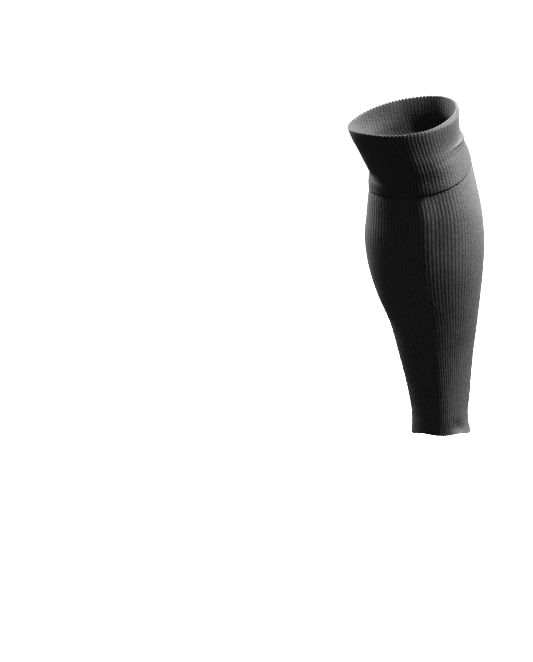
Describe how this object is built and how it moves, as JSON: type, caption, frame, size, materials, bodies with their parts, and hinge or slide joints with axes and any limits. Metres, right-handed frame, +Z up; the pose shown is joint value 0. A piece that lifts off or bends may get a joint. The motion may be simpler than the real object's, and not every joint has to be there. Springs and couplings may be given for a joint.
{
  "type": "sleeve sock",
  "caption": "Footless rib-knit sleeve sock in its worn form: a shaped tube from ankle to calf with a doubled, folded and flared top cuff, open at both ends.",
  "frame": {"origin": "middle of the leg at the fullest part of the calf", "axes": "+Z up along the leg towards the knee, the shin faces -Y, the calf muscle +Y, and the outer side of the left leg +X"},
  "size_m": [0.1447, 0.1316, 0.3514],
  "materials": {
    "rib_knit": "near-black rib knit, matt with a faint sheen",
    "doubled_rib_knit": "near-black rib knit in two layers, matt with a faint sheen"
  },
  "bodies": {
    "root": {"leg_sleeve": "rib_knit", "cuff": "doubled_rib_knit"}
  },
  "joints": []
}
